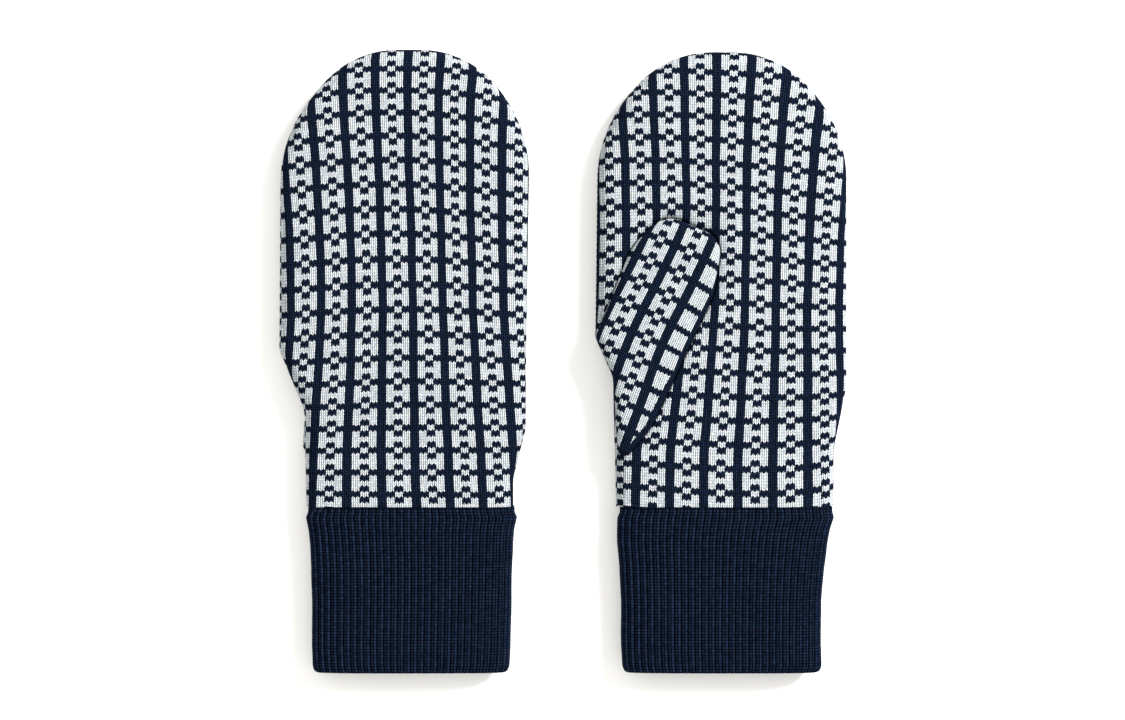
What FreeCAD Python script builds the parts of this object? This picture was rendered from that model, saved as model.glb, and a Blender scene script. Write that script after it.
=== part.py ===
"""A pair of knitted mittens, laid side by side with the fingertips towards +Y.

The left-hand mitten lies palm up and the right-hand mitten lies back up, so both have their
thumb on the -X side, folded over the palm into a shallow hollow. Each mitten is a back panel
and a palm panel sewn along the edge, a thumb of two panels, a lining for the hand and one for
the thumb, the seam threads, and a ribbed cuff folded double.

Each mitten is drawn about its own point: X across the hand from its middle, Y from the cuff
seam towards the fingertips, and a height counted from the mid-plane towards the palm. Lengths
are in millimetres and angles in degrees. The finished pair stands on Z = 0, centred on X
and Y.
"""
import FreeCAD, Part
import math
import os
import re

import Sketcher

SIZES = [
    # hand
    ("hand_length", 207.1, "cuff seam to fingertips"),
    ("hand_width", 112.4, "across the knuckles"),
    ("hand_thick", 20, "back to palm, at rest"),
    ("rim_radius", 7, "rounding where back and palm meet the edge"),
    ("crown_half", 26.8, "half the top edge, before its corners are rounded"),
    ("crown_radius", 44, "rounding of the top edge's corners"),
    ("shoulder_drop", 36.7, "fingertips down to where the sides slope in"),
    ("shoulder_radius", 60, "rounding of that slope's lower end"),
    ("wrist_width", 96.6, "hand at the cuff seam"),
    ("wrist_shift", 1.7, "wrist's middle, away from the thumb"),
    ("heel_top", 56, "little-finger side, where it starts to narrow"),
    ("heel_top_radius", 50, "rounding there"),
    ("heel_low", 28, "little-finger side, where it has narrowed"),
    ("heel_low_radius", 25, "rounding there"),
    ("bump_height", 78, "corner on the thumb side, above the cuff seam"),
    ("bump_radius", 6, "rounding of that corner"),
    ("waist_height", 60.5, "narrowest place below that corner"),
    ("waist_inset", 7.2, "how far the side comes in there"),
    ("waist_radius", 15, "rounding there"),
    # fabrics
    ("shell_wall", 1.6, "two-colour knit of the hand"),
    ("lining_wall", 0.7, "plain jersey lining of the hand"),
    ("layer_gap", 0.1, "between a fabric and its lining"),
    ("seam_thick", 0.8, "thread between two edges"),
    ("seam_inset", 0.3, "thread below the outer face"),
    ("body_gap", 0.3, "between pieces that move apart"),
    # thumb
    ("thumb_thick", 8.6, "palm side to outer side"),
    ("thumb_rim", 4, "rounding of the thumb's edge"),
    ("thumb_low", 20.6, "thumb's lowest corner, above the cuff seam"),
    ("thumb_low_radius", 3, "rounding of that corner"),
    ("thumb_lean", 24, "thumb's length, leaning from Y towards the fingers"),
    ("thumb_length", 111.5, "lowest corner to tip"),
    ("thumb_edge", 7, "free edge, beside the line through the lowest corner"),
    ("thumb_heel", 22, "start of the free edge, above the lowest corner"),
    ("thumb_heel_radius", 40, "rounding there"),
    ("thumb_knuckle", 90, "where the free edge turns in, above the lowest corner"),
    ("thumb_knuckle_radius", 30, "rounding there"),
    ("thumb_tip_inset", 6, "how far the free edge turns in"),
    ("thumb_back", 27, "outer edge at the tip, beside the same line"),
    ("thumb_tip_radius", 10, "rounding of the tip's corners"),
    ("thumb_cheek", 92, "where the outer edge is widest, above the lowest corner"),
    ("thumb_cheek_out", 34.6, "outer edge there, beside the same line"),
    ("thumb_cheek_radius", 30, "rounding there"),
    ("thumb_wall", 1.3, "two-colour knit of the thumb"),
    ("thumb_lining_wall", 0.6, "plain jersey lining of the thumb"),
    ("hollow_room", 1, "hollow in the palm, beyond the thumb's edge"),
    ("hollow_swing", 2.5, "more room on the thumb's outer side, which swings that way"),
    ("hollow_lead", 25, "hollow's opening in the hand's side, above the bump"),
    # passage from the hand into the thumb
    ("hole_start", 30, "passage, above the thumb's lowest corner"),
    ("hole_length", 40, "passage, along the thumb"),
    ("hole_width", 11, "passage, across the thumb"),
    ("hole_shift", 3, "passage's middle, beside the line through the lowest corner"),
    ("hole_radius", 5, "rounding of the passage's corners"),
    ("hole_binding", 1, "stitches round the passage"),
    # cuff
    ("cuff_length", 72.9, "cuff seam to fold"),
    ("cuff_end_width", 88, "cuff at its fold"),
    ("cuff_end_shift", 1.2, "fold's middle, away from the thumb"),
    ("cuff_thick", 19, "cuff, at rest"),
    ("cuff_radius", 8, "rounding of the cuff's sides"),
    ("rib_wall", 1.6, "one layer of rib"),
    ("rib_gap", 0.2, "between the two layers"),
    ("fold_depth", 2.5, "solid rib at the fold"),
    ("fold_radius", 1.4, "rounding of the fold"),
    # pair
    ("pair_spacing", 142.4, "middle of one hand to middle of the other"),
]
ALIASES = {alias for alias, _, _ in SIZES}
REACH = 40  # how far cutting tools, and the hand below its cuff seam, run past what is kept
FLOOR = "hand_thick / 2 - thumb_thick - body_gap"  # hollow's floor, above the mid-plane
THUMB_BOTTOM = f"{FLOOR} + body_gap"
THUMB_RIM = "min(thumb_rim; thumb_thick / 2 - 0.2)"  # leaves a little straight edge for its seam
SEAM_LEVEL = f"{FLOOR} - shell_wall - layer_gap - seam_thick / 2"  # seam round the hand's edge

# How deep each face of the fabrics lies inside the outer face.
HAND_LAYERS = {
    "outer": "0",
    "thread": "seam_inset",
    "inner": "shell_wall",
    "lining_outer": "shell_wall + layer_gap",
    "lining_inner": "shell_wall + layer_gap + lining_wall",
}
THUMB_LAYERS = {
    "outer": "0",
    "thread": "seam_inset",
    "inner": "thumb_wall",
    "lining_outer": "thumb_wall + layer_gap",
    "lining_inner": "thumb_wall + layer_gap + thumb_lining_wall",
}
CUFF_LAYERS = {
    "outer": "0",
    "slit_outer": "rib_wall",
    "slit_inner": "rib_wall + rib_gap",
    "inner": "2 * rib_wall + rib_gap",
}


def make_sheet(doc):
    """The driving sizes, one to a row, each with the alias that the expressions use."""
    sheet = doc.addObject("Spreadsheet::Sheet", "Sizes")
    for row, (alias, size, note) in enumerate(SIZES, 1):
        sheet.set(f"A{row}", alias)
        sheet.set(f"B{row}", str(size))
        sheet.set(f"C{row}", note)
        sheet.setAlias(f"B{row}", alias)
    doc.recompute()


def sized(text):
    """An expression with each driving size in it named as a cell of the sheet."""
    return re.sub(r"[a-z_]+", lambda word: f"Sizes.{word[0]}" if word[0] in ALIASES else word[0], text)


def bind(thing, **expressions):
    """Binds properties to expressions. A double underscore stands for the dot in a path."""
    for name, text in expressions.items():
        thing.setExpression(name.replace("__", "."), sized(text))
    return thing


def number(thing, text):
    """The value of an expression in the driving sizes."""
    value = thing.evalExpression(sized(text))
    return float(getattr(value, "Value", value))


def draw_outline(sketch, corners):
    """Draws a closed anticlockwise outline of straight runs joined by tangent arcs.

    A corner is (x, y, radius) in expressions. Its place before rounding stays in the sketch
    as a construction point, which carries the corner's two dimensions.
    """
    spots = [FreeCAD.Vector(number(sketch, x), number(sketch, y), 0) for x, y, _ in corners]
    count = len(corners)
    arc_ends = []
    arc_geometry = []
    for i, (_, _, radius) in enumerate(corners):
        size = number(sketch, radius)
        back = (spots[i - 1] - spots[i]).normalize()
        ahead = (spots[(i + 1) % count] - spots[i]).normalize()
        half = back.getAngle(ahead) / 2
        start = spots[i] + back * (size / math.tan(half))
        end = spots[i] + ahead * (size / math.tan(half))
        centre = spots[i] + (back + ahead).normalize() * (size / math.sin(half))
        turns_left = back.cross(ahead).z < 0
        first, last = (start, end) if turns_left else (end, start)
        angles = [math.atan2(p.y - centre.y, p.x - centre.x) for p in (first, last)]
        circle = Part.Circle(centre, FreeCAD.Vector(0, 0, 1), size)
        arc_geometry.append((Part.ArcOfCircle(circle, *angles), size, turns_left))
        arc_ends.append((start, end))

    runs = []
    for i in range(count):
        run = Part.LineSegment(arc_ends[i - 1][1], arc_ends[i][0])
        runs.append(sketch.addGeometry(run, False))
    add = sketch.addConstraint
    for i, (x, y, radius) in enumerate(corners):
        before, after = runs[i], runs[(i + 1) % count]
        geometry, size, turns_left = arc_geometry[i]
        arc = sketch.addGeometry(geometry, False)
        near, far = (1, 2) if turns_left else (2, 1)
        add(Sketcher.Constraint("Tangent", before, 2, arc, near))
        add(Sketcher.Constraint("Tangent", arc, far, after, 1))
        rounding = add(Sketcher.Constraint("Radius", arc, size))
        point = sketch.addGeometry(Part.Point(spots[i]), True)
        add(Sketcher.Constraint("PointOnObject", point, 1, before))
        add(Sketcher.Constraint("PointOnObject", point, 1, after))
        across = add(Sketcher.Constraint("DistanceX", -1, 1, point, 1, spots[i].x))
        along = add(Sketcher.Constraint("DistanceY", -1, 1, point, 1, spots[i].y))
        for constraint, text in ((rounding, radius), (across, x), (along, y)):
            sketch.setExpression(f"Constraints[{constraint}]", sized(text))
    if sketch.solve() != 0:
        raise RuntimeError(f"{sketch.Label} could not be solved")


def on_thumb(along, across):
    """A place on the thumb, along and across its length from its lowest corner."""
    start = "wrist_shift - wrist_width / 2"
    x = f"{start} + ({along}) * sin(thumb_lean) + ({across}) * cos(thumb_lean)"
    y = f"thumb_low + ({along}) * cos(thumb_lean) - ({across}) * sin(thumb_lean)"
    return x, y


def edge_corners():
    """The two corners of the hand's thumb side, which the thumb's outer edge follows."""
    bump = ("- hand_width / 2", "bump_height", "bump_radius")
    waist = ("waist_inset - hand_width / 2", "waist_height", "waist_radius")
    return [bump, waist]


def hand_corners():
    """The hand's outline, which runs on below the cuff seam, where it is trimmed."""
    side = "hand_width / 2"
    far_side = "wrist_shift + wrist_width / 2"
    thumb_side = "wrist_shift - wrist_width / 2"
    shoulder = "hand_length - shoulder_drop"
    return [
        (thumb_side, f"- {REACH}", "rim_radius"),
        (far_side, f"- {REACH}", "rim_radius"),
        (far_side, "heel_low", "heel_low_radius"),
        (side, "heel_top", "heel_top_radius"),
        (side, shoulder, "shoulder_radius"),
        ("crown_half", "hand_length", "crown_radius"),
        ("- crown_half", "hand_length", "crown_radius"),
        (f"- {side}", shoulder, "shoulder_radius"),
        *edge_corners(),
    ]


def free_edge_corners():
    """The thumb's base and free edge, up to the tip's first corner."""
    return [
        (*on_thumb("0", "0"), "thumb_low_radius"),
        (*on_thumb("thumb_heel", "thumb_edge"), "thumb_heel_radius"),
        (*on_thumb("thumb_knuckle", "thumb_edge"), "thumb_knuckle_radius"),
        (*on_thumb("thumb_length", "thumb_edge - thumb_tip_inset"), "thumb_tip_radius"),
    ]


def thumb_corners():
    """The thumb's outline: base, free edge, tip and outer edge."""
    tip = (*on_thumb("thumb_length", "- thumb_back"), "thumb_tip_radius")
    cheek = (*on_thumb("thumb_cheek", "- thumb_cheek_out"), "thumb_cheek_radius")
    return [*free_edge_corners(), tip, cheek, *edge_corners()]


def hollow_corners():
    """The hollow under the thumb, open at the hand's side, with room for the thumb's swing."""
    side = "- hand_width / 2 - hollow_swing"
    tip = (*on_thumb("thumb_length", "- thumb_back - hollow_swing"), "thumb_tip_radius")
    return [
        *free_edge_corners(),
        tip,
        (side, "bump_height + hollow_lead", "bump_radius"),
        (side, "waist_height", "waist_radius"),
    ]


def hole_corners():
    """The passage from the hand into the thumb."""
    low, high = "hole_start", "hole_start + hole_length"
    near, far = "- hole_shift - hole_width / 2", "- hole_shift + hole_width / 2"
    spots = [(low, near), (low, far), (high, far), (high, near)]
    return [(*on_thumb(*spot), "hole_radius") for spot in spots]


def cuff_corners(middle, width, inset):
    """A section of the cuff, with its sides rounded."""
    wide = f"({width}) / 2 - ({inset})"
    high = f"cuff_thick / 2 - ({inset})"
    spots = [
        (f"{middle} - ({wide})", f"- ({high})"),
        (f"{middle} + {wide}", f"- ({high})"),
        (f"{middle} + {wide}", high),
        (f"{middle} - ({wide})", high),
    ]
    return [(*spot, f"cuff_radius - ({inset})") for spot in spots]


class Mitten:
    """One mitten: the outlines and tools it is cut from, and its finished sub-parts.

    A palm of 1 faces up and a palm of -1 faces down.
    """

    def __init__(self, doc, hand, palm):
        self.doc = doc
        self.hand = hand
        self.palm = palm
        self.finished = []
        self.middle_x = "pair_spacing / 2" if palm == 1 else "- pair_spacing / 2"
        self.middle_y = "(cuff_length - hand_length) / 2"
        self.middle_z = "hand_thick / 2"
        self.hand_outline = self.outline("hand_outline", hand_corners())
        self.thumb_outline = self.outline("thumb_outline", thumb_corners())
        self.hollow_outline = self.outline("hollow_outline", hollow_corners())
        self.hole_outline = self.outline("hole_outline", hole_corners())

    def add(self, kind, name):
        return self.doc.addObject(kind, f"{self.hand}_{name}")

    def finish(self, label, thing):
        """Marks a solid as a finished sub-part, which is written under its label."""
        thing.Label = f"{self.hand}_{label}"
        self.finished.append(thing)

    def outline(self, name, corners, y="0", upright=False):
        """A sketch in the mid-plane, or upright across the mitten at a distance y."""
        sketch = self.add("Sketcher::SketchObject", name)
        if upright:
            sketch.Placement.Rotation = FreeCAD.Rotation(FreeCAD.Vector(1, 0, 0), 90)
        bind(
            sketch,
            Placement__Base__x=self.middle_x,
            Placement__Base__y=f"{self.middle_y} + {y}",
            Placement__Base__z=self.middle_z,
        )
        draw_outline(sketch, corners)
        return sketch

    def grown(self, name, outline, amount):
        """An outline moved outwards by an amount, or inwards if that is negative."""
        offset = self.add("Part::Offset2D", f"{name}_outline")
        offset.Source = outline
        offset.Join = "Arc"
        return bind(offset, Value=amount)

    def raised(self, name, outline, low, high):
        """A straight-sided solid between two heights."""
        block = self.add("Part::Extrusion", name)
        block.Base = outline
        block.DirMode = "Custom"
        block.Dir = FreeCAD.Vector(0, 0, self.palm)
        block.Solid = True
        return bind(block, LengthFwd=high, LengthRev=f"-({low})")

    def rounded(self, name, block, radius, wanted):
        """A solid with the wanted edges rounded."""
        self.doc.recompute()
        size = number(block, radius)
        fillet = self.add("Part::Fillet", name)
        fillet.Base = block
        fillet.Edges = [
            (index, size, size)
            for index, edge in enumerate(block.Shape.Edges, 1)
            if wanted(edge.BoundBox)
        ]
        return fillet

    def pillow(self, name, outline, inset, low, high, radius):
        """A solid between two heights, taken in all over by an inset, with a rounded rim."""
        if inset != "0":
            outline = self.grown(name, outline, f"-({inset})")
        block = self.raised(f"{name}_block", outline, f"{low} + ({inset})", f"{high} - ({inset})")
        return self.rounded(
            f"{name}_pillow", block, f"{radius} - ({inset})", lambda box: box.ZLength < 1e-6
        )

    def cut(self, name, base, tool):
        result = self.add("Part::Cut", name)
        result.Base = base
        result.Tool = tool
        return result

    def common(self, name, base, tool):
        result = self.add("Part::Common", name)
        result.Base = base
        result.Tool = tool
        return result

    def slab(self, name, y_low="0", y_high="hand_length", z_low="- hand_thick", z_high="hand_thick"):
        """A box across the whole mitten, between two distances and two heights."""
        box = self.add("Part::Box", name)
        bottom = z_low if self.palm == 1 else f"-({z_high})"
        return bind(
            box,
            Length=f"hand_width + 2 * {REACH}",
            Width=f"{y_high} - ({y_low})",
            Height=f"{z_high} - ({z_low})",
            Placement__Base__x=f"{self.middle_x} - hand_width / 2 - {REACH}",
            Placement__Base__y=f"{self.middle_y} + {y_low}",
            Placement__Base__z=f"{self.middle_z} + {bottom}",
        )

    def hand_form(self, layer):
        """The hand down to one face of its fabrics, with the hollow for the thumb."""
        inset = HAND_LAYERS[layer]
        name = f"hand_{layer}"
        low, high = "- hand_thick / 2", "hand_thick / 2"
        pillow = self.pillow(name, self.hand_outline, inset, low, high, "rim_radius")
        edge = self.grown(f"{name}_hollow", self.hollow_outline, f"hollow_room + {inset}")
        hollow = self.raised(f"{name}_hollow", edge, f"{FLOOR} - ({inset})", "hand_thick")
        return self.cut(f"{name}_form", pillow, hollow)

    def thumb_form(self, layer):
        """The thumb down to one face of its fabrics."""
        inset = THUMB_LAYERS[layer]
        low, high = THUMB_BOTTOM, f"{THUMB_BOTTOM} + thumb_thick"
        return self.pillow(f"thumb_{layer}", self.thumb_outline, inset, low, high, THUMB_RIM)

    def cuff_form(self, layer):
        """The cuff down to one face of its two layers of rib."""
        inset = CUFF_LAYERS[layer]
        top = cuff_corners("wrist_shift", "wrist_width", inset)
        end = cuff_corners("cuff_end_shift", "cuff_end_width", inset)
        loft = self.add("Part::Loft", f"cuff_{layer}")
        loft.Sections = [
            self.outline(f"cuff_{layer}_top", top, "- body_gap", upright=True),
            self.outline(f"cuff_{layer}_end", end, "- cuff_length", upright=True),
        ]
        loft.Solid = True
        loft.Ruled = True
        return loft

    def make_hand(self):
        """Back panel, palm panel, lining, and the threads that hold them together."""
        forms = {layer: self.hand_form(layer) for layer in HAND_LAYERS}
        shell = self.cut("hand_shell", forms["outer"], forms["inner"])
        seam_low = f"{SEAM_LEVEL} - seam_thick / 2"
        seam_high = f"{SEAM_LEVEL} + seam_thick / 2"

        back_side = self.slab("back_side", y_low="seam_thick", z_high=seam_low)
        self.finish("back_panel", self.common("back", shell, back_side))
        palm_side = self.slab("palm_side", y_low="seam_thick", z_low=seam_high)
        palm = self.common("palm_uncut", shell, palm_side)
        passage = self.raised("palm_passage", self.hole_outline, SEAM_LEVEL, "hand_thick / 2")
        self.finish("palm_panel", self.cut("palm", palm, passage))

        edge_thread = self.cut("hand_thread", forms["thread"], forms["lining_outer"])
        edge_plane = self.slab("edge_plane", "seam_thick", z_low=seam_low, z_high=seam_high)
        self.finish("hand_side_seam", self.common("hand_edge", edge_thread, edge_plane))
        wrist_thread = self.cut("wrist_thread", forms["thread"], forms["lining_inner"])
        wrist_plane = self.slab("wrist_plane", y_high="seam_thick")
        self.finish("cuff_seam", self.common("wrist_edge", wrist_thread, wrist_plane))

        lining = self.cut("lining_skin", forms["lining_outer"], forms["lining_inner"])
        lining_length = self.slab("lining_length", y_low="seam_thick")
        lining_bag = self.common("lining_bag", lining, lining_length)
        self.finish("hand_lining", self.cut("lining", lining_bag, self.inner_hole("lining_hole")))

        lining_top = f"{FLOOR} - shell_wall - layer_gap"
        ring = self.raised("passage_block", self.hole_outline, lining_top, FLOOR)
        self.finish("thumb_base_seam", self.cut("ring", ring, self.inner_hole("ring_hole")))

    def inner_hole(self, name):
        """The passage inside its stitches, from the hand's cavity up into the thumb's."""
        edge = self.grown(name, self.hole_outline, "- hole_binding")
        middle_of_thumb = f"{THUMB_BOTTOM} + thumb_thick / 2"
        return self.raised(name, edge, "- hand_thick / 4", middle_of_thumb)

    def make_thumb(self):
        """The thumb's two panels, its lining and the thread along its edge."""
        forms = {layer: self.thumb_form(layer) for layer in THUMB_LAYERS}
        shell = self.cut("thumb_shell", forms["outer"], forms["inner"])
        seam_low = f"{THUMB_BOTTOM} + (thumb_thick - seam_thick) / 2"
        seam_high = f"{THUMB_BOTTOM} + (thumb_thick + seam_thick) / 2"

        front_side = self.slab("thumb_front_side", z_low=seam_high)
        self.finish("thumb_front_panel", self.common("thumb_front", shell, front_side))
        rear_side = self.slab("thumb_rear_side", z_high=seam_low)
        rear = self.common("thumb_rear_uncut", shell, rear_side)
        rear_hole = self.inner_hole("thumb_rear_hole")
        self.finish("thumb_rear_panel", self.cut("thumb_rear", rear, rear_hole))

        thread = self.cut("thumb_thread", forms["thread"], forms["lining_outer"])
        plane = self.slab("thumb_plane", z_low=seam_low, z_high=seam_high)
        self.finish("thumb_side_seam", self.common("thumb_edge", thread, plane))

        lining = self.cut("thumb_bag", forms["lining_outer"], forms["lining_inner"])
        lining_hole = self.inner_hole("thumb_lining_hole")
        self.finish("thumb_lining", self.cut("thumb_lining", lining, lining_hole))

    def make_cuff(self):
        """The rib, folded double: two layers with a slit between them, joined at the fold."""
        forms = {layer: self.cuff_form(layer) for layer in CUFF_LAYERS}
        slit = self.cut("slit_ring", forms["slit_outer"], forms["slit_inner"])
        above_fold = self.slab("above_fold", y_low="fold_depth - cuff_length")
        slit_end = self.common("slit", slit, above_fold)
        tube = self.cut("cuff_tube", forms["outer"], forms["inner"])
        folded = self.cut("cuff_folded", tube, slit_end)
        self.doc.recompute()
        fold = folded.Shape.BoundBox.YMin
        rib_cuff = self.rounded("cuff", folded, "fold_radius", lambda box: box.YMax < fold + 1e-6)
        self.finish("rib_cuff", rib_cuff)


def check_document(doc, sub_parts):
    """Stops if anything failed to build, or if a sub-part has no sound solid."""
    for thing in doc.Objects:
        if {"Invalid", "Error"} & set(thing.State):
            raise RuntimeError(f"{thing.Label} failed: {thing.State}")
    labels = [thing.Label for thing in sub_parts]
    if len(set(labels)) != len(labels):
        raise RuntimeError("two sub-parts share a label")
    for thing in sub_parts:
        if thing.Shape.isNull() or not thing.Shape.isValid() or not thing.Shape.Solids:
            raise RuntimeError(f"{thing.Label} has no sound solid")


def main():
    doc = FreeCAD.newDocument("Mittens")
    make_sheet(doc)
    sub_parts = []
    for hand, palm in (("left", 1), ("right", -1)):
        mitten = Mitten(doc, hand, palm)
        mitten.make_hand()
        mitten.make_thumb()
        mitten.make_cuff()
        sub_parts += mitten.finished
    doc.recompute()
    check_document(doc, sub_parts)
    os.makedirs("parts", exist_ok=True)
    for thing in sub_parts:
        thing.Shape.exportStep(f"parts/{thing.Label}.step")
        print(f"{thing.Label}: {len(thing.Shape.Solids)} solid, {thing.Shape.Volume:.0f} mm3")


main()
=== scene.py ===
"""The pair of knitted mittens: knit panels, ribbed cuffs, thumbs, seams, linings and a stage."""
import math

import bpy
import numpy as np
from bpy.props import FloatProperty, FloatVectorProperty, IntProperty, PointerProperty
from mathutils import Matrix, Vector


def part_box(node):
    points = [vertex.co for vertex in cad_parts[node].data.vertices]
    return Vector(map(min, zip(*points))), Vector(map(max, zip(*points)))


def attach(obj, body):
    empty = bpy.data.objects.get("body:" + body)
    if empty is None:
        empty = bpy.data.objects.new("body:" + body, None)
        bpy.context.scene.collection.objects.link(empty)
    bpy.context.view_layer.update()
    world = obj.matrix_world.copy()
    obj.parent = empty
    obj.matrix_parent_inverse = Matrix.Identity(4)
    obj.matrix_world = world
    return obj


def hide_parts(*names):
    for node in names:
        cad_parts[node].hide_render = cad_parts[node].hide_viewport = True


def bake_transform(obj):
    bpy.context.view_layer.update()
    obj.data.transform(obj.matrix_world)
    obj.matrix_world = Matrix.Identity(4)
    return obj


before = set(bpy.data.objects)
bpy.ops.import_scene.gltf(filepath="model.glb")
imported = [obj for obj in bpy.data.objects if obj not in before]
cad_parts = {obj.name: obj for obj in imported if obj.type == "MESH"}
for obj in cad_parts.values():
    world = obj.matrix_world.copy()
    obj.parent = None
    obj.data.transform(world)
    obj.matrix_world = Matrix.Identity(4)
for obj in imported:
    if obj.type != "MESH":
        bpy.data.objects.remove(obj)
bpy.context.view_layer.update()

bl_info = {
    "name": "Knitted Mittens",
    "version": (1, 0, 0),
    "blender": (4, 5, 0),
    "location": "3D View > Sidebar > Mittens",
    "description": "Builds a pair of jacquard mittens with ribbed cuffs",
    "category": "Add Mesh",
}

MM = 0.001
HANDS = ("left", "right")
PALM_UP = {"left": 1, "right": -1}  # the left-hand mitten lies palm up


def middle_of(hand):
    """The mitten's own point: middle of the hand, cuff seam, mid-plane."""
    low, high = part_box(f"{hand}_back_panel")
    seam_low, seam_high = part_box(f"{hand}_cuff_seam")
    return np.array([(low[0] + high[0]) / 2, seam_low[1], (seam_low[2] + seam_high[2]) / 2])


# Outlines, in millimetres from the mitten's own point: (x, y, rounding of the corner).
EDGE = {
    "left": [(-56.9, 78, 6), (-49, 60.5, 15)],
    "right": [(-56.2, 72.5, 9), (-45, 45.5, 12)],
}
HAND = {
    "left": [
        (-46.6, -40, 7), (50, -40, 7), (50, 28, 25), (55.8, 56, 50), (55.8, 170.4, 60),
        (25.8, 206.2, 46), (-25.8, 206.2, 46), (-55.8, 170.4, 60), *EDGE["left"],
    ],
    "right": [
        (-43.2, -40, 7), (48.6, -40, 7), (48.6, 15, 15), (54.2, 37, 15), (54.6, 84, 60), (56, 171, 60),
        (29, 207.1, 44), (-24.6, 207.1, 44), (-55.6, 168, 60), *EDGE["right"],
    ],
}
THUMB_START = (-46.6, 20.6)
THUMB_LEAN = math.radians(24)


def on_thumb(along, across):
    """A place along and across the thumb from its lowest corner."""
    sine, cosine = math.sin(THUMB_LEAN), math.cos(THUMB_LEAN)
    x = THUMB_START[0] + along * sine + across * cosine
    y = THUMB_START[1] + along * cosine - across * sine
    return x, y


THUMB = {
    hand: [
        (*on_thumb(0, 0), 3), (*on_thumb(22, 6.3), 40), (*on_thumb(88, 7.5), 25),
        (*on_thumb(111.5, 1), 10), (*on_thumb(111.5, -27), 12), (*on_thumb(92, -34.6), 30), *EDGE[hand],
    ]
    for hand in HANDS
}
GUSSET = [
    (*on_thumb(*spot), 4.6)
    for spot in ((31, -10), (31, 1.5), (69, 1.5), (69, -20), (47, -20))
]


def rounded_outline(corners, step=1.0):
    """Points round a closed outline whose corners are rounded, anticlockwise."""
    spots = [np.array(corner[:2], float) for corner in corners]
    points = []
    for i, (_, _, radius) in enumerate(corners):
        here = spots[i]
        back = spots[i - 1] - here
        ahead = spots[(i + 1) % len(spots)] - here
        back /= np.linalg.norm(back)
        ahead /= np.linalg.norm(ahead)
        half = math.acos(float(np.clip(back @ ahead, -1, 1))) / 2
        centre = here + (back + ahead) / np.linalg.norm(back + ahead) * radius / math.sin(half)
        start = here + back * radius / math.tan(half) - centre
        turn = math.pi - 2 * half
        sign = 1 if back[0] * ahead[1] - back[1] * ahead[0] < 0 else -1
        count = max(3, math.ceil(turn * radius / step))
        for angle in np.linspace(0, sign * turn, count + 1):
            c, s = math.cos(angle), math.sin(angle)
            points.append(centre + np.array([c * start[0] - s * start[1], s * start[0] + c * start[1]]))
    return np.array(points)


def nearest_edge(points, loop):
    """For each point: the nearest place on a closed outline, outward direction, distance out."""
    ends = np.roll(loop, -1, axis=0)
    runs = ends - loop
    lengths = np.maximum((runs**2).sum(1), 1e-12)
    outward = np.stack([runs[:, 1], -runs[:, 0]], 1) / np.sqrt(lengths)[:, None]
    found = np.empty_like(points)
    facing = np.empty_like(points)
    out = np.empty(len(points))
    for first in range(0, len(points), 4000):
        part = points[first : first + 4000]
        gap = part[:, None] - loop[None]
        along = np.clip((gap * runs).sum(2) / lengths, 0, 1)
        miss = gap - along[..., None] * runs
        best = (miss**2).sum(2).argmin(1)
        rows = np.arange(len(part))
        away = miss[rows, best]
        distance = np.linalg.norm(away, axis=1)
        side = np.where((away * outward[best]).sum(1) >= 0, 1.0, -1.0)
        near = distance < 1e-4
        direction = away / np.maximum(distance, 1e-4)[:, None] * side[:, None]
        chunk = slice(first, first + len(part))
        found[chunk] = part - away
        facing[chunk] = np.where(near[:, None], outward[best], direction)
        out[chunk] = distance * side
    return found, facing, out


def smooth(low, high, value):
    """Rises gently from 0 at the low value to 1 at the high one."""
    t = np.clip((value - low) / (high - low), 0, 1)
    return t * t * (3 - 2 * t)


# Scene properties


class MittenKnit(bpy.types.PropertyGroup):
    """Gauge and yarns of the knit."""

    stitch_width: FloatProperty(
        name="Stitch width", description="Width of one stitch at mid-hand", default=1.77 * MM, unit="LENGTH"
    )
    row_height: FloatProperty(
        name="Row height", description="Height of one row at mid-hand", default=1.315 * MM, unit="LENGTH"
    )
    relief: FloatProperty(
        name="Stitch relief", description="Height of a stitch's legs", default=0.42 * MM, unit="LENGTH"
    )
    ribs: IntProperty(name="Ribs", description="Ribs round a cuff", default=64, min=20)
    rib_relief: FloatProperty(
        name="Rib relief", description="Height of a rib above its valley", default=1.15 * MM, unit="LENGTH"
    )
    navy: FloatVectorProperty(
        name="Navy yarn", description="Dark yarn", subtype="COLOR", size=3, default=(0.0037, 0.0080, 0.0196)
    )
    pale: FloatVectorProperty(
        name="Pale yarn", description="Light yarn", subtype="COLOR", size=3, default=(0.405, 0.468, 0.52)
    )
    lining: FloatVectorProperty(
        name="Lining", description="Jersey inside", subtype="COLOR", size=3, default=(0.024, 0.029, 0.044)
    )


class MittenStage(bpy.types.PropertyGroup):
    """What the camera takes in."""

    view_width: FloatProperty(
        name="View width", description="Width that the camera takes in", default=0.508, unit="LENGTH"
    )
    camera_height: FloatProperty(
        name="Camera height", description="Camera above the floor", default=1.6, unit="LENGTH"
    )


# Materials


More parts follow.
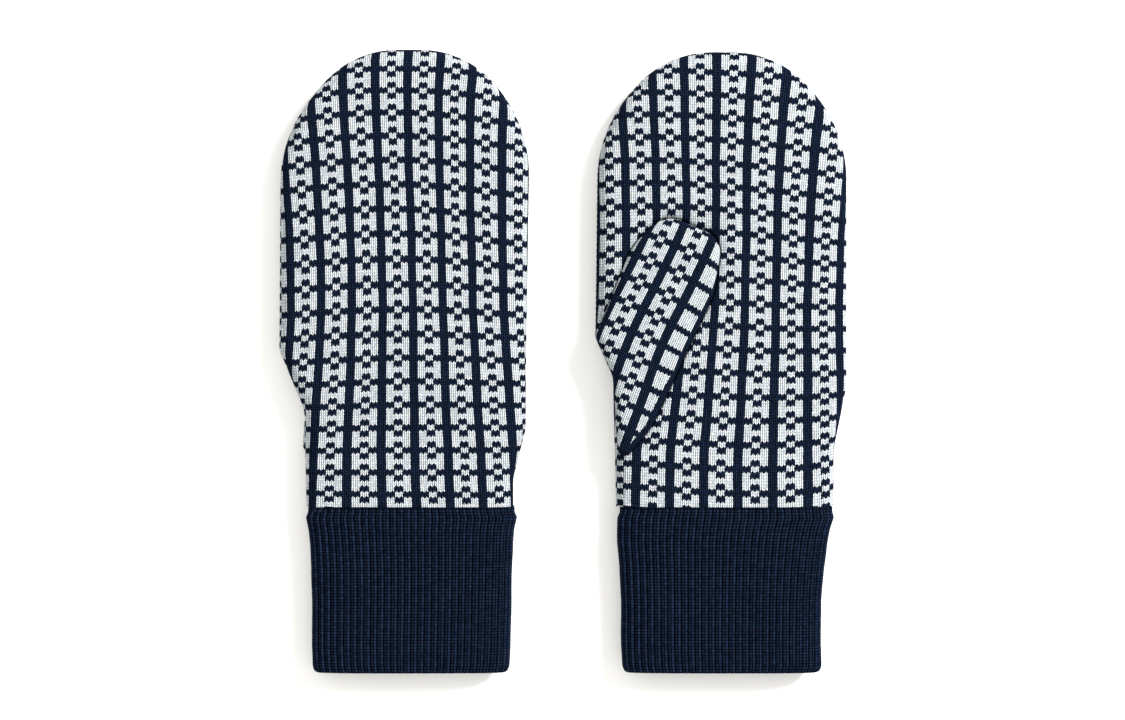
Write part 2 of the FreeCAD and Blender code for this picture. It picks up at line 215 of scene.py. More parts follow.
class Value:
    """A shader value that Python's operators work on."""

    def __init__(self, shader, socket):
        self.shader = shader
        self.socket = socket

    def math(self, operation, *others):
        values = [other.socket if isinstance(other, Value) else other for other in others]
        return self.shader.node("ShaderNodeMath", {"operation": operation}, self.socket, *values)

    def __add__(self, other):
        return self.math("ADD", other)

    def __sub__(self, other):
        return self.math("SUBTRACT", other)

    def __mul__(self, other):
        return self.math("MULTIPLY", other)

    def __truediv__(self, other):
        return self.math("DIVIDE", other)

    def __mod__(self, other):
        return self.math("FLOORED_MODULO", other)

    def __rsub__(self, other):
        return self * -1 + other

    __radd__ = __add__
    __rmul__ = __mul__

    def floor(self):
        return self.math("FLOOR")

    def abs(self):
        return self.math("ABSOLUTE")

    def min(self, other):
        return self.math("MINIMUM", other)

    def max(self, other):
        return self.math("MAXIMUM", other)

    def power(self, other):
        return self.math("POWER", other)


class Shader:
    """A new material and the means to fill its node tree."""

    def __init__(self, name):
        self.material = bpy.data.materials.new(name)
        self.material.use_nodes = True
        self.tree = self.material.node_tree
        self.surface = self.tree.nodes["Principled BSDF"]

    def node(self, kind, settings, *values):
        """Adds a node, with its settings first and then the values or links of its sockets."""
        node = self.tree.nodes.new(kind)
        for name, value in settings.items():
            setattr(node, name, value)
        for index, value in enumerate(values):
            self.feed(node.inputs[index], value)
        return Value(self, node.outputs[0])

    def feed(self, socket, value):
        if isinstance(value, Value):
            value = value.socket
        if isinstance(value, bpy.types.NodeSocket):
            self.tree.links.new(value, socket)
        elif value is not None:
            socket.default_value = value

    def set(self, name, value):
        self.feed(self.surface.inputs[name], value)

    def noise(self, vector, scale, detail=2.0, roughness=0.5):
        return self.node(
            "ShaderNodeTexNoise", {"noise_dimensions": "3D"}, vector, None, scale, detail, roughness
        )

    def mix(self, factor, low, high, blend="MIX"):
        node = self.tree.nodes.new("ShaderNodeMix")
        node.data_type = "RGBA"
        node.blend_type = blend
        self.feed(node.inputs[0], factor)
        self.feed(node.inputs[6], low)
        self.feed(node.inputs[7], high)
        return Value(self, node.outputs[2])

    def vector(self, *parts):
        return self.node("ShaderNodeCombineXYZ", {}, *parts)

    def bump(self, height, strength, distance):
        node = self.tree.nodes.new("ShaderNodeBump")
        node.inputs["Strength"].default_value = strength
        node.inputs["Distance"].default_value = distance
        self.feed(node.inputs["Height"], height)
        self.set("Normal", Value(self, node.outputs[0]))


PLAIN_COLUMN = 1000  # a whole number of repeats, past which blocks have no dots between them
BLOCK = 2  # stitches across, and rows up, in one block of the pattern
REPEAT = 4  # blocks in the pattern's repeat, each way
SPREAD = 0.15  # how far the navy floats reach over a pale block, in stitches
WANDER = 0.3  # how far a block's edge wanders, in stitches


def rgba(colour):
    """A colour property or tuple as a socket takes it."""
    return (*colour, 1.0)


def stitch_coordinates(shader):
    """Stitches across and rows up, from the piece's UV map."""
    coordinates = shader.node("ShaderNodeUVMap", {"uv_map": "stitches"})
    split = shader.tree.nodes.new("ShaderNodeSeparateXYZ")
    shader.feed(split.inputs[0], coordinates)
    return coordinates, Value(shader, split.outputs[0]), Value(shader, split.outputs[1])


def yarn_with_painted_light(shader, coordinates, u, v, colour, glints, hole_shade, groove_shade):
    """Colours every stitch as two slanting legs of soft twisted yarn, with stray fibres, and paints light
    and shade on it.

    Glints paint a highlight on the legs' crowns, the hole strength paints shade into the gap inside each
    stitch, and the groove strength paints shade into the valley between two columns of stitches. Each row is
    also painted darker towards its top and bottom.
    """
    across = (u % 1.0 * 2 - 1).abs()
    leg = 1 - ((across * 2 - 1).abs()).power(2.0)
    rise = (v % 1.0 * 2 - 1).abs()
    bead = leg * (1 - rise.power(2.0))
    fibre = shader.noise(coordinates, 5.5, 3.0, 0.7)
    one_stitch = shader.vector((u * 2).floor(), v.floor())
    random = shader.node("ShaderNodeTexWhiteNoise", {"noise_dimensions": "2D"}, one_stitch)
    # Masks for painted shade: the gap inside each stitch and the valley between two columns of stitches.
    gap = (1 - across * 2.4).max(0.0) * (1 - ((v % 1.0 - 0.45) * 2.6).abs()).max(0.0)
    groove = (1 - (1 - across) * 3.0).max(0.0)
    # Painted highlight on the crown of each leg.
    crown_highlight = bead * (random * 0.5 + 0.75) * glints
    gain = (1 - glints * 0.6 + crown_highlight * 1.4) * (fibre * 0.5 + 0.75) * (random * 0.14 + 0.93)
    # Painted shade in the gaps, in the valleys between columns and towards the top and bottom of each row.
    gain = gain * (1 - gap * hole_shade).max(0.0) * (1 - groove * groove_shade) * (1 - rise.power(3.0) * 0.4)
    # The painted highlight is tinted redder and greener, so the lit legs come out greyer.
    tint = shader.vector(gain + crown_highlight * 0.35, gain + crown_highlight * 0.12, gain)
    shader.set("Base Color", shader.mix(1.0, colour, tint, "MULTIPLY"))
    shader.set("Roughness", fibre * 0.2 + 0.78)
    shader.surface.inputs["Specular IOR Level"].default_value = 0.005
    shader.bump(leg * 0.6 + bead * 0.4 + fibre * 0.3, 0.6, 0.35 * MM)


def jacquard_material(name, knit):
    """Navy and pale blocks, two stitches by two rows, in a repeat of four by four blocks.

    Stitches numbered past PLAIN_COLUMN have no dots between their pale blocks.
    """
    shader = Shader(name)
    coordinates, u, v = stitch_coordinates(shader)
    wander = shader.noise(coordinates, 1.7, 1.0) - 0.5
    plain = (u - PLAIN_COLUMN / 2).max(0.0).min(1.0)
    pale = 1.0
    for nudge in (SPREAD, -SPREAD):
        column = ((u + wander * WANDER + nudge) / BLOCK).floor() % REPEAT
        row = ((v + wander * WANDER + nudge) / BLOCK).floor() % REPEAT
        middle = 1 - (column - 2).abs().min(1.0)
        stripe = (column % 2).max(middle * plain) * row.min(1.0)
        dot = middle * (1 - row % 2) * (1 - plain)
        pale = stripe.max(dot) * pale
    colour = shader.mix(pale, two_tone(shader, coordinates, knit.navy), rgba(knit.pale))
    # Painted highlight, stronger on the navy yarn than on the pale, and painted shade in the stitches' gaps
    # and valleys.
    glints = 1.35 - pale * 0.8
    yarn_with_painted_light(shader, coordinates, u, v, colour, glints, hole_shade=1.3, groove_shade=0.6)
    return shader.material


def two_tone(shader, coordinates, colour):
    """A yarn that wanders between a bluer and a redder dye."""
    wander = shader.noise(coordinates, 0.9, 2.0)
    red, green, blue = colour
    bluer = rgba((red * 0.5, green * 1.1, blue * 1.15))
    redder = rgba((red * 1.6, green * 0.9, blue * 0.9))
    return shader.mix(wander, bluer, redder)


def plain_material(name, colour, glints=1.0, groove_shade=0.5):
    """One yarn, for the rib, the seam thread and the lining."""
    shader = Shader(name)
    coordinates, u, v = stitch_coordinates(shader)
    dyed = two_tone(shader, coordinates, colour)
    # The stitches get a painted highlight and painted shade in their gaps and valleys.
    yarn_with_painted_light(shader, coordinates, u, v, dyed, glints, hole_shade=0.9, groove_shade=groove_shade)
    return shader.material


def material(name):
    """One of the mittens' materials, made when it is first asked for."""
    yarn = f"{name}_yarn"
    if yarn in bpy.data.materials:
        return bpy.data.materials[yarn]
    knit = bpy.context.scene.mitten_knit
    if name == "jacquard_knit":
        return jacquard_material(yarn, knit)
    if name == "navy_rib":
        # The rib gets a strong painted highlight on its stitches and deep painted shade in its valleys.
        return plain_material(yarn, knit.navy, glints=1.6, groove_shade=0.9)
    if name == "seam_thread":
        return plain_material(yarn, [channel * 0.8 for channel in knit.navy])
    return plain_material(yarn, knit.lining)


# Meshes


def start_grid(name, columns, rows):
    """A flat grid, selected alone, and its vertices' places as 0 to columns and 0 to rows."""
    bpy.ops.object.select_all(action="DESELECT")
    bpy.ops.mesh.primitive_grid_add(x_subdivisions=columns, y_subdivisions=rows, size=1)
    piece = bpy.context.object
    piece.name = piece.data.name = name
    flat = vertex_places(piece)
    return piece, (flat[:, 0] + 0.5) * columns, (flat[:, 1] + 0.5) * rows


def vertex_places(piece):
    """The places of a piece's vertices, one row each."""
    places = np.empty(len(piece.data.vertices) * 3)
    piece.data.vertices.foreach_get("co", places)
    return places.reshape(-1, 3)


def place_vertices(piece, places):
    """Moves a piece's vertices, places being in metres."""
    piece.data.vertices.foreach_set("co", np.ascontiguousarray(places, dtype=np.float32).ravel())
    piece.data.update()


def map_stitches(piece, u, v):
    """Stores stitches and rows as the piece's UV map."""
    layer = piece.data.uv_layers[0] if piece.data.uv_layers else piece.data.uv_layers.new()
    layer.name = "stitches"
    corners = np.empty(len(piece.data.loops), dtype=np.int32)
    piece.data.loops.foreach_get("vertex_index", corners)
    layer.data.foreach_set("uv", np.stack([u[corners], v[corners]], 1).astype(np.float32).ravel())


def all_corners(mesh, chosen):
    """The faces whose corners are all among the chosen vertices."""
    corners = np.empty(len(mesh.loops), dtype=np.int32)
    mesh.loops.foreach_get("vertex_index", corners)
    return chosen[corners].reshape(-1, 4).all(1)


def shift_stitches(piece, chosen, columns):
    """Moves the pattern of some faces sideways by whole stitches, or onto a plain navy column."""
    layer = piece.data.uv_layers["stitches"]
    places = np.empty(len(layer.data) * 2, dtype=np.float32)
    layer.data.foreach_get("uv", places)
    places = places.reshape(-1, 4, 2)
    faces = all_corners(piece.data, chosen)
    if columns is None:
        columns = 1 - np.floor(places[faces, :, 0].mean(1, keepdims=True) + 0.5)
    places[faces, :, 0] += columns
    layer.data.foreach_set("uv", places.ravel())


def drop_faces(piece, outside):
    """Deletes the faces whose corners all lie outside."""
    mesh = piece.data
    unwanted = all_corners(mesh, outside)
    bpy.ops.object.mode_set(mode="EDIT")
    bpy.ops.mesh.select_mode(type="FACE")
    bpy.ops.mesh.select_all(action="DESELECT")
    bpy.ops.object.mode_set(mode="OBJECT")
    mesh.polygons.foreach_set("select", unwanted)
    bpy.ops.object.mode_set(mode="EDIT")
    bpy.ops.mesh.delete(type="FACE")
    bpy.ops.object.mode_set(mode="OBJECT")


def close_seams():
    """Joins the edges of the active rolled-up grid and turns its faces outwards."""
    bpy.ops.object.mode_set(mode="EDIT")
    bpy.ops.mesh.select_all(action="SELECT")
    bpy.ops.mesh.remove_doubles(threshold=0.02 * MM)
    bpy.ops.mesh.normals_make_consistent(inside=False)
    bpy.ops.object.mode_set(mode="OBJECT")


def finish_piece(piece, material_name, body, *nodes, turned=False):
    """Smooths a piece, gives it its material, puts it under its body and hides the parts that it stands in
    for.
    """
    if turned:
        piece.data.flip_normals()
    piece.data.polygons.foreach_set("use_smooth", np.ones(len(piece.data.polygons), bool))
    piece.data.materials.clear()
    piece.data.materials.append(material(material_name))
    if body:
        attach(piece, body)
    if nodes:
        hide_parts(*nodes)


def to_world(hand, places):
    """From the mitten's own millimetres, palm side up, to where the mitten lies, in metres."""
    turned = places * np.array([MM, MM, MM * PALM_UP[hand]])
    return turned + middle_of(hand)


# Knit panels

HAND_LENGTH = 207.1  # cuff seam to fingertips
HAND_HALF = 9.6  # half the hand's thickness, without the stitches' relief
HAND_LIMIT = 9.9  # half the thickness that the mitten may fill
HAND_RIM = 5.5  # rounding of the hand's edge
HAND_CROWN = 14.0  # how far in from the edge the hand takes to reach its full thickness
SEAM_LEVEL = -1.0  # the side seam, above the mid-plane
THUMB_RIM = 4.0
THUMB_CROWN = 7.0
THUMB_MIDDLE = {"left": 7.4, "right": 5.7}  # seam of the folded thumb, above the mid-plane
THUMB_HALF = {"left": 5.2, "right": 4.2}  # half the thumb's thickness
HOLLOW = 0.7  # floor of the hollow under the thumb, above the mid-plane
HAND_SWELL = 0.45  # height of the cloth's slow rises and hollows
THUMB_SWELL = 0.2
CUFF_SWELL = 0.3
SLACK = 0.15  # how far stitches stray from their columns and rows
DOT_STITCH, DOT_ROW = 5, 1  # middle of a dot in the pattern
HEIGHTS = (25, 92, 192)  # wrist, knuckles and top, where the columns' places are given
COLUMNS = {  # middle of a dotted column and stitch width at the wrist, knuckles and top
    "left": ((0.4, 1.92), (3.4, 1.77), (5.4, 1.80)),
    "right": ((-3.5, 1.86), (-4.3, 1.77), (-6.6, 1.80)),
}
CUFF_TOP = 2.3  # where the rib begins, above the cuff seam
PULL = {  # how far wear and laying out have pulled each hand's knit across and up
    "left": (
        (-0.26, 0.06, -2.77, 0.34, 1.81, -2.91, -1.78, 3.97, 2.94, 1.49, 1.03, 1.13, 1.16, 0.74, -0.49),
        (-0.54, -1.32, 0.03, 0.04, -0.37, -2.74, -2.66, -0.11, 2.79, -0.91, -2.62, 2.02, 1.17, -1.02, -0.16),
    ),
    "right": (
        (1.36, 0.03, -2.0, -0.35, 1.95, -2.65, -2.15, 3.49, 1.36, -1.05, 0.56, -0.66, 0.59, 0.91, 0.94),
        (-0.59, -0.55, 2.38, -1.52, -2.26, -0.33, -2.43, -0.35, 2.42, -3.44, -2.59, 1.22, 0.09, 0.19, 0.87),
    ),
}
THUMB_PULL = ((-1.03, -7.63, -6.99, 0.72, -2.8, 0.39), (-0.65, 10.9, -5.39, -0.33, 21.6, -3.18))
CHEVRON = 0.85  # rise of a stitch's legs towards its middle, in rows
DOT_HEIGHT = {"left": 94.2, "right": 91.1}  # height of one row of dots
ROWS = {"left": (1.04, 1.0, 0.98), "right": (0.96, 1.075, 1.0)}  # row height at cuff, middle, top


def row_heights(hand, row):
    """Heights above the cuff seam, and the rows counted up to each."""
    heights = np.linspace(-10, HAND_LENGTH + 15, 500)
    pitch = row * np.interp(heights, (10, HAND_LENGTH * 0.5, HAND_LENGTH), ROWS[hand])
    rows = np.concatenate([[0], np.cumsum(np.diff(heights) / pitch[1:])])
    whole_repeats = 16 * BLOCK * REPEAT  # keeps the count above zero
    rows += DOT_ROW - np.interp(DOT_HEIGHT[hand], heights, rows) + whole_repeats
    return heights, rows


def pulled(x, y, pull):
    """Places on a straight knit, moved by polynomials in the distance across and up the hand."""
    a = np.clip(x, -56, 56) / 50
    b = np.clip(y, 0, 207) / 100 - 1
    degree = 4 if len(pull[0]) == 15 else 2
    terms = np.array([a**i * b**j for i in range(degree + 1) for j in range(degree + 1 - i)])
    return x + np.tensordot(pull[0], terms, 1), y + np.tensordot(pull[1], terms, 1)


def stitch_relief(u, v, relief):
    """Two legs a stitch, with a deep groove beside each stitch and a shallow one inside."""
    part = u % 1.0
    legs = np.abs(np.sin(2 * np.pi * part)) * relief
    inside = np.exp(-((part - 0.5) / 0.1) ** 2) * relief * 0.35
    row = np.cos(2 * np.pi * (v % 1.0 - 0.5)) * relief * 0.3
    return legs + inside + row - relief * 0.5


def swell(x, y, seed):
    """Slow rises and hollows of soft cloth, about one unit high."""
    total = np.zeros_like(x)
    for i, (a, b) in enumerate(((0.031, 0.047), (0.063, -0.029), (-0.022, 0.088), (0.11, 0.053))):
        total += np.sin(a * x + b * y + seed * (1.7 + i) + i * 2.1) / (1 + 0.5 * i)
    return total / 2.2


def wrap_over_edge(flat, outline, rim, seam_level, height, crown_width):
    """Bends a flat knit over its rim down to the seam. Returns places, normals, distance in."""
    edge, outward, out = nearest_edge(flat, outline)
    spare = (math.pi / 2 - 1) * rim
    angle = np.clip((spare - out) / rim, 0, math.pi / 2)
    inside = np.maximum(-out, 0)
    bent = out > -rim
    level = np.where(bent[:, None], edge - outward * (rim * (1 - np.cos(angle)))[:, None], flat)
    share = rim / height * 0.95
    rise = np.sin(angle) * share + (1 - share) * (1 - np.exp(-inside / crown_width)) * np.sin(angle)
    z = seam_level + height * rise
    tilt = np.where(bent, np.cos(angle), 0.0)
    normals = np.column_stack([outward * tilt[:, None], np.sin(np.where(bent, angle, math.pi / 2))])
    return np.column_stack([level, z]), normals, inside, out > spare


def under_thumb(hand, places, thumb_loop, deeper=0.0):
    """Presses the palm down under and beside the folded thumb."""
    _, _, out = nearest_edge(places[:, :2], thumb_loop)
    out = out - deeper
    edge_level = THUMB_MIDDLE[hand] - 0.4 - deeper
    floor = HOLLOW - deeper
    beside = places[:, 2] - (places[:, 2] - edge_level) * np.exp(-np.maximum(out, 0) / 3.0)
    below = edge_level + (floor - edge_level) * smooth(-0.4, 1.3, 0.35 - out)
    lowered = np.where(out > 0.75, beside, np.minimum(beside, below))
    places[:, 2] = np.minimum(places[:, 2], lowered)
    return places


def hand_panel(hand, side):
    """The palm panel for a side of 1, or the back panel for a side of -1."""
    knit = bpy.context.scene.mitten_knit
    name = f"{hand}_palm_panel" if side == 1 else f"{hand}_back_panel"
    across, up = 4, 2  # faces to a stitch
    columns, rows = 72, 168
    piece, gx, gy = start_grid(f"{name}_knit", columns * across, rows * up)
    u = gx / across - columns / 2 + DOT_STITCH
    heights, counted = row_heights(hand, knit.row_height / MM)
    v = gy / up + np.interp(-5, heights, counted)
    y = np.interp(v, counted, heights)
    middles, widths = zip(*COLUMNS[hand])
    scale = knit.stitch_width / MM / widths[1]
    x = np.interp(y, HEIGHTS, middles) + (u - DOT_STITCH) * np.interp(y, HEIGHTS, widths) * scale
    pitch = knit.row_height / MM
    y = y + CHEVRON * pitch * (0.5 - np.abs(u % 1.0 * 2 - 1)) * smooth(0, 2, y)
    x, y = pulled(x, y, PULL[hand])
    x = x + SLACK * swell(x * 3, y * 3, 1)
    y = y + SLACK * swell(x * 2.5, y * 2.5, 4)
    below = y < CUFF_TOP
    y = np.maximum(y, CUFF_TOP)
    outline = rounded_outline(HAND[hand])
    height = HAND_HALF - side * SEAM_LEVEL
    places, normals, inside, outside = wrap_over_edge(
        np.column_stack([x, y]), outline, HAND_RIM, side * SEAM_LEVEL, height, HAND_CROWN
    )
    seed = HANDS.index(hand) * 3 + side
    places[:, 2] += HAND_SWELL * swell(x, y, seed) * smooth(2, 25, inside)
    if side == 1:
        places = under_thumb(hand, places, rounded_outline(THUMB[hand]))
    places[:, 2] = np.minimum(places[:, 2], HAND_LIMIT)
    places += normals * (stitch_relief(u, v, knit.relief / MM) * smooth(0, 2, inside + 0.6))[:, None]
    places[:, 2] *= side
    place_vertices(piece, to_world(hand, places))
    map_stitches(piece, u, v)
    drop_faces(piece, outside | below)
    finish_piece(piece, "jacquard_knit", f"{hand}_hand", name, turned=side * PALM_UP[hand] < 0)


WALE_START = (-44.2, 49.1)  # a dot on the thumb's middle wale
FIRST_THUMB_ROW = 31  # rows of the thumb's lattice below that dot
THIRD_COLUMN = 9  # where the thumb's third column of blocks begins, in stitches
BAND_WIDTH, BAND_TOP = 3.2, 78  # the navy band beside the thumb's free edge, at its foot


def beside_wale(along, over):
    """A place along the thumb's middle wale, which curves over the palm, and beside it."""
    steps = np.linspace(-50, 110, 641)
    leans = np.radians(18 + 12.5 * smooth(12, 52, steps))
    step = steps[1] - steps[0]
    wale_x = np.cumsum(np.sin(leans)) * step
    wale_y = np.cumsum(np.cos(leans)) * step
    wale_x += WALE_START[0] - np.interp(0, steps, wale_x)
    wale_y += WALE_START[1] - np.interp(0, steps, wale_y)
    lean = np.interp(along, steps, leans)
    x = np.interp(along, steps, wale_x) + over * np.cos(lean)
    y = np.interp(along, steps, wale_y) - over * np.sin(lean)
    return x, y


def thumb_panel(hand, side):
    """The thumb's front panel for a side of 1, or its rear panel for a side of -1."""
    knit = bpy.context.scene.mitten_knit
    name = f"{hand}_thumb_front_panel" if side == 1 else f"{hand}_thumb_rear_panel"
    across, up = 5, 3  # faces to a stitch
    columns, rows = 34, 104
    piece, gx, gy = start_grid(f"{name}_knit", columns * across, rows * up)
    u = gx / across - columns / 2 + DOT_STITCH
    v = gy / up - FIRST_THUMB_ROW
    stitch, row = knit.stitch_width / MM, knit.row_height / MM * 1.01
    along = (v - DOT_ROW + CHEVRON * (0.5 - np.abs(u % 1.0 * 2 - 1))) * row
    x, y = pulled(*beside_wale(along, (u - DOT_STITCH) * stitch), THUMB_PULL)
    outline = rounded_outline(THUMB[hand], 0.6)
    places, normals, inside, outside = wrap_over_edge(
        np.column_stack([x, y]), outline, THUMB_RIM, 0.0, THUMB_HALF[hand], THUMB_CROWN
    )
    places[:, 2] += THUMB_SWELL * swell(x * 2, y * 2, 8 + side) * smooth(1, 8, inside)
    places += normals * (stitch_relief(u, v, knit.relief / MM) * smooth(0, 1.5, inside + 0.4))[:, None]
    places[:, 2] = THUMB_MIDDLE[hand] + side * places[:, 2]
    place_vertices(piece, to_world(hand, places))
    map_stitches(piece, u, v)
    shift_stitches(piece, u > THIRD_COLUMN, PLAIN_COLUMN)
    shift_stitches(piece, u > THIRD_COLUMN + 5, BLOCK)
    from_start = np.column_stack([x, y]) - THUMB_START
    up_thumb = from_start @ (math.sin(THUMB_LEAN), math.cos(THUMB_LEAN))
    over_thumb = from_start @ (math.cos(THUMB_LEAN), -math.sin(THUMB_LEAN))
    free_edge = np.interp(up_thumb, (0, 22, 88), (0.5, 6.3, 7.5))
    band = over_thumb > free_edge - BAND_WIDTH * (1 - smooth(30, BAND_TOP, up_thumb))
    shift_stitches(piece, band & (up_thumb < BAND_TOP), None)
    drop_faces(piece, outside)
    finish_piece(piece, "jacquard_knit", f"{hand}_thumb", name, turned=side * PALM_UP[hand] < 0)


# Cuffs, seams and gussets


CUFF_LENGTH = 72.9  # cuff seam to fold
CUFF_FOLD = 4.5  # length of rib that turns round the fold
CUFF_INSIDE = 70.0  # length of rib inside
CUFF_ROW = 1.30  # height of a row of the rib
CUFF_HALF = (45.0, 8.8)  # usual half width and half thickness of a cuff
CUFF_DEPTHS = (0, 2.5, 8, 14, 25, 40, 60, 69, CUFF_LENGTH)
CUFF_WIDTHS = {  # half the cuff's width at those depths
    "left": (47.2, 48.1, 47.2, 46.6, 45.4, 44.6, 44.4, 44.2, 42.9),
    "right": (45.7, 46.8, 45.7, 45.2, 44.6, 44.3, 44.2, 43.7, 42.4),
}
CUFF_THICKS = (8.6, 9.0, 8.9, 8.8, 8.8, 8.8, 8.9, 8.8, 8.2)
CUFF_MIDDLES = {  # middle of the cuff across the hand at those depths
    "left": (1.7, 1.5, 0.6, 0.0, -0.3, -0.5, -0.6, -0.4, -0.4),
    "right": (2.9, 3.0, 2.9, 3.0, 3.2, 3.1, 2.8, 2.8, 2.8),
}


def cuff_section(hand, depth):
    """Half width, half thickness and middle of a cuff, at a depth below its seam."""
    tables = (CUFF_WIDTHS[hand], CUFF_THICKS, CUFF_MIDDLES[hand])
    return [np.interp(depth, CUFF_DEPTHS, table) for table in tables]


def round_section(turn, half_width, half_thick, power=3.2):
    """A place on a flattened section, and the outward direction there, at even arc steps."""
    fine = np.linspace(0, 2 * np.pi, 40001)

    def shape(angle, wide, thick):
        c, s = np.cos(angle), np.sin(angle)
        x = np.sign(c) * np.abs(c) ** (2 / power) * wide
        z = np.sign(s) * np.abs(s) ** (2 / power) * thick
        return x, z

    fx, fz = shape(fine, *CUFF_HALF)
    lengths = np.concatenate([[0], np.cumsum(np.hypot(np.diff(fx), np.diff(fz)))])
    angle = np.interp(turn * lengths[-1], lengths, fine)
    x, z = shape(angle, half_width, half_thick)
    step = 1e-3
    ax, az = shape(angle + step, half_width, half_thick)
    bx, bz = shape(angle - step, half_width, half_thick)
    dx, dz = ax - bx, az - bz
    size = np.maximum(np.hypot(dx, dz), 1e-9)
    return x, z, dz / size, -dx / size


def rib_cuff(hand):
    """The rib, from the cuff seam down to the fold and up again inside."""
    knit = bpy.context.scene.mitten_knit
    around, up, row = 6, 2, CUFF_ROW
    length, fold = CUFF_LENGTH, CUFF_FOLD
    rows = math.ceil((CUFF_TOP + length + fold + CUFF_INSIDE) / row)
    piece, gx, gy = start_grid(f"{hand}_rib_cuff_knit", knit.ribs * around, rows * up)
    travel = gy / up * row
    zigzag = CHEVRON * row * (0.5 - np.abs(gx / around % 1.0 * 2 - 1)) * smooth(0, 2, travel)
    travel = np.clip(travel - zigzag, 0, None) - CUFF_TOP
    turn = gx / (knit.ribs * around)
    folding = np.clip((travel - (length - fold / 2)) / fold, 0, 1)
    bend = folding * math.pi
    radius = fold / math.pi
    down = np.where(travel < length - fold / 2, travel, length - fold / 2 + radius * np.sin(bend))
    down = np.where(folding >= 1, length - fold / 2 - (travel - length - fold / 2), down)
    inset = radius * (1 - np.cos(bend))
    half_width, half_thick, middle = cuff_section(hand, down)
    x, z, out_x, out_z = round_section(turn, half_width, half_thick)
    part = gx / around % 1.0
    ridge = (0.5 - 0.5 * np.cos(2 * np.pi * part)) ** 0.7
    rows_relief = 0.12 * np.cos(2 * np.pi * travel / row) * ridge
    rise = (ridge - 0.6) * knit.rib_relief / MM + rows_relief
    rise = rise * np.cos(bend) - inset
    rise += CUFF_SWELL * swell(x * 2, travel * 3, HANDS.index(hand) * 2 + 5)
    places = np.column_stack([x + middle + out_x * rise, -down, z + out_z * rise])
    if PALM_UP[hand] == 1:
        places[:, 2] = np.maximum(places[:, 2], -HAND_LIMIT)
    place_vertices(piece, to_world(hand, places))
    map_stitches(piece, gx / around, travel / row)
    close_seams()
    finish_piece(piece, "navy_rib", None, f"{hand}_rib_cuff")
    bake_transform(piece)


THREAD_SIDES = 8
HAND_THREAD, THUMB_THREAD, CUFF_THREAD = 0.5, 0.3, 0.55  # radius of each seam's yarn


def thread_round(name, hand, loop, level, radius, body, node):
    """A yarn laid along a closed outline, with the slant of its twist."""
    lengths = np.linalg.norm(np.roll(loop, -1, axis=0) - loop, axis=1)
    travelled = np.concatenate([[0], np.cumsum(lengths)])
    closed = np.vstack([loop, loop[:1]])
    sides, count = THREAD_SIDES, int(travelled[-1] / 0.8)
    piece, gx, gy = start_grid(name, sides, count)
    at = gy / count * travelled[-1]
    px = np.interp(at, travelled, closed[:, 0])
    py = np.interp(at, travelled, closed[:, 1])
    _, outward, _ = nearest_edge(np.column_stack([px, py]), loop)
    angle = gx / sides * 2 * np.pi
    lump = radius * (1 + 0.18 * np.sin(2 * angle + at * 2.4))
    out, rise = lump * np.cos(angle), lump * np.sin(angle)
    places = np.column_stack([px + outward[:, 0] * out, py + outward[:, 1] * out, level + rise])
    place_vertices(piece, to_world(hand, places))
    map_stitches(piece, gx / sides * 2, at / 1.3)
    close_seams()
    finish_piece(piece, "seam_thread", body, node)


def cuff_thread(hand):
    """The yarn round the wrist, where the hand meets the rib."""
    sides, count = THREAD_SIDES, 260
    piece, gx, gy = start_grid(f"{hand}_cuff_seam_thread", sides, count)
    half_width, half_thick, middle = cuff_section(hand, 0.0)
    x, z, out_x, out_z = round_section(gy / count, half_width - 0.2, half_thick - 0.1)
    angle = gx / sides * 2 * np.pi
    lump = CUFF_THREAD * (1 + 0.15 * np.sin(2 * angle + gy * 0.9))
    out, rise = lump * np.cos(angle), lump * np.sin(angle)
    places = np.column_stack([x + middle + out_x * out, CUFF_TOP + rise, z + out_z * out])
    place_vertices(piece, to_world(hand, places))
    map_stitches(piece, gx / sides * 2, gy * 0.8)
    close_seams()
    finish_piece(piece, "seam_thread", f"{hand}_hand", f"{hand}_cuff_seam")


def thumb_gusset(hand):
    """The knit gusset between the palm and the thumb, from the crease to past the passage."""
    loop = rounded_outline(GUSSET, 0.7)
    rows = 16
    piece, gx, gy = start_grid(f"{hand}_thumb_gusset_knit", len(loop), rows)
    index = np.round(gx).astype(int) % len(loop)
    low, high = 0.2, THUMB_MIDDLE[hand] - THUMB_HALF[hand] + 1.0
    level = low + (high - low) * gy / rows
    places = np.column_stack([loop[index], level])
    place_vertices(piece, to_world(hand, places))
    map_stitches(piece, gx * 0.4, gy * 3)
    close_seams()
    finish_piece(piece, "seam_thread", None, f"{hand}_thumb_base_seam")
    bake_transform(piece)


HAND_LINING = (1.6, 1.8)  # how far the lining lies in from the panels' edge, and under them
THUMB_LINING = (1.2, 1.3)


def inset(loop, depth):
    """An outline taken in by a depth."""
    ahead = np.roll(loop, -1, axis=0) - np.roll(loop, 1, axis=0)
    ahead /= np.maximum(np.linalg.norm(ahead, axis=1), 1e-9)[:, None]
    return loop - np.column_stack([ahead[:, 1], -ahead[:, 0]]) * depth


